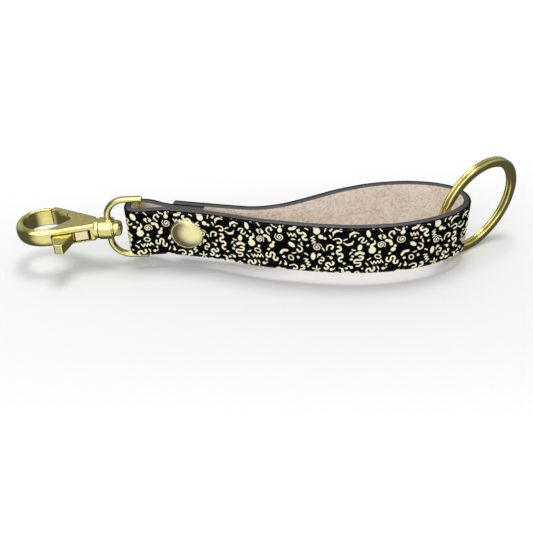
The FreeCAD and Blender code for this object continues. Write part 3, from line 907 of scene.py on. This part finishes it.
def stage():
    mesh = bpy.data.meshes.new("floor")
    mesh.from_pydata([(-6, -6, 0), (6, -6, 0), (6, 6, 0), (-6, 6, 0)], [], [(0, 1, 2, 3)])
    floor = bpy.data.objects.new("floor", mesh)
    bpy.context.scene.collection.objects.link(floor)
    mesh.materials.append(pale_floor())
    floor.visible_glossy = False


def area_light(name, place, target, size, power, colour=(1, 1, 1)):
    data = bpy.data.lights.new(name, "AREA")
    data.shape = "RECTANGLE"
    data.size, data.size_y = size
    data.energy = power
    data.color = colour
    light = bpy.data.objects.new(name, data)
    light.location = place
    way = Vector(target) - Vector(place)
    light.rotation_euler = way.to_track_quat("-Z", "Y").to_euler()
    bpy.context.scene.collection.objects.link(light)
    return light


# What polished metal sees: direction, where the glow starts and is full, strength.
GLOWS = (
    ((-0.10, -0.60, 0.79), 0.70, 0.98, 1.7),
    ((-0.05, -0.93, -0.36), 0.62, 0.98, 0.95),
    ((0.00, 0.80, 0.60), 0.20, 1.00, 0.17),
    ((0.00, 0.00, 1.00), 0.45, 1.00, 0.15),
    ((0.90, -0.10, 0.35), 0.70, 1.00, 0.50),
    ((-0.70, 0.60, 0.30), 0.70, 1.00, 0.35),
)
GLOW_BASE = 0.11
SKY = 0.63


def world():
    """Even white light for the scene, and a shaped studio for reflections."""
    sky = bpy.data.worlds.new("studio")
    bpy.context.scene.world = sky
    sky.use_nodes = True
    tree = sky.node_tree
    nodes, link = tree.nodes, tree.links.new
    place = nodes.new("ShaderNodeTexCoord")
    total = None
    for way, start, full, strength in GLOWS:
        facing = nodes.new("ShaderNodeVectorMath")
        facing.operation = "DOT_PRODUCT"
        facing.inputs[1].default_value = Vector(way).normalized()
        link(place.outputs["Generated"], facing.inputs[0])
        span = nodes.new("ShaderNodeMapRange")
        span.interpolation_type = "SMOOTHSTEP"
        span.inputs["From Min"].default_value = start
        span.inputs["From Max"].default_value = full
        span.inputs["To Min"].default_value = 0.0
        span.inputs["To Max"].default_value = strength
        link(facing.outputs["Value"], span.inputs["Value"])
        add = nodes.new("ShaderNodeMath")
        add.inputs[1].default_value = GLOW_BASE
        link(span.outputs["Result"], add.inputs[0])
        if total is not None:
            link(total, add.inputs[1])
        total = add.outputs["Value"]
    path = nodes.new("ShaderNodeLightPath")
    choose = nodes.new("ShaderNodeMix")
    split = nodes.new("ShaderNodeSeparateXYZ")
    link(place.outputs["Generated"], split.inputs[0])
    walls = nodes.new("ShaderNodeMapRange")
    walls.interpolation_type = "SMOOTHSTEP"
    for socket, value in zip(("From Min", "From Max", "To Min", "To Max"), (0.28, 0.5, 1.0, SKY)):
        walls.inputs[socket].default_value = value
    link(split.outputs["Z"], walls.inputs["Value"])
    link(walls.outputs["Result"], choose.inputs["A"])
    link(path.outputs["Is Glossy Ray"], choose.inputs["Factor"])
    link(total, choose.inputs["B"])
    link(choose.outputs["Result"], nodes["Background"].inputs["Strength"])
    nodes["Background"].inputs["Color"].default_value = (1.0, 1.0, 1.0, 1.0)


def camera():
    data = bpy.data.cameras.new("camera")
    data.lens = 50.0
    data.sensor_width = 36.0
    data.clip_start = 0.01
    data.dof.use_dof = False
    cam = bpy.data.objects.new("camera", data)
    right = Vector((0.99953, -0.01827, -0.02445))
    up = Vector((0.03052, 0.59840, 0.80062))
    back = right.cross(up)
    turn = Matrix((right, up, back)).transposed()
    cam.matrix_world = Matrix.Translation(Vector((-1.4, -232.52, 172.07)) * MM) @ turn.to_4x4()
    bpy.context.scene.collection.objects.link(cam)
    bpy.context.scene.camera = cam


# ----------------------------------------------------------------------- assembly

camera()
world()
stage()
area_light("key", (0.06, 0.08, 0.90), (0, 0, 0), (0.34, 0.34), 3.95)
area_light("front", (-0.38, -0.55, 0.52), (0, 0, 0), (0.7, 0.7), 1.8)
bpy.context.scene.view_settings.view_transform = "Standard"

printed_leather()
suede_lining()
edge_coat("edge_coat_low", STRAP_LOW, 1, "edge_coat_lower")
edge_coat("edge_coat_top", STRAP_HIGH, -1, "edge_coat_upper")
rivet_cap("rivet_cap_front", "rivet_front_cap", 2.15 * MM, 1)
rivet_cap("rivet_cap_back", "rivet_back_cap", 1.5 * MM, -1)
hook = cast_copy("claw_hook", "hook_body", HARDWARE, VOXEL, 14, "hook")
round_nose(hook, EYE_CENTRE, EYE_HEIGHT, EYE_DEPTH, EYE_WALL)
cast_copy("thumb_lever", "gate_lever", HARDWARE, VOXEL, 12, "lever")
cast_copy("d_ring_frame", "swivel_d_ring", HARDWARE, VOXEL, 8, "d_ring")
swivel_stud()
leaf_spring()
split_ring()
for node in ("rivet_socket", "rivet_post"):
    keep_cad(node, RIVET)
for node in ("swivel_washer", "lever_pivot_pin"):
    keep_cad(node, HARDWARE)
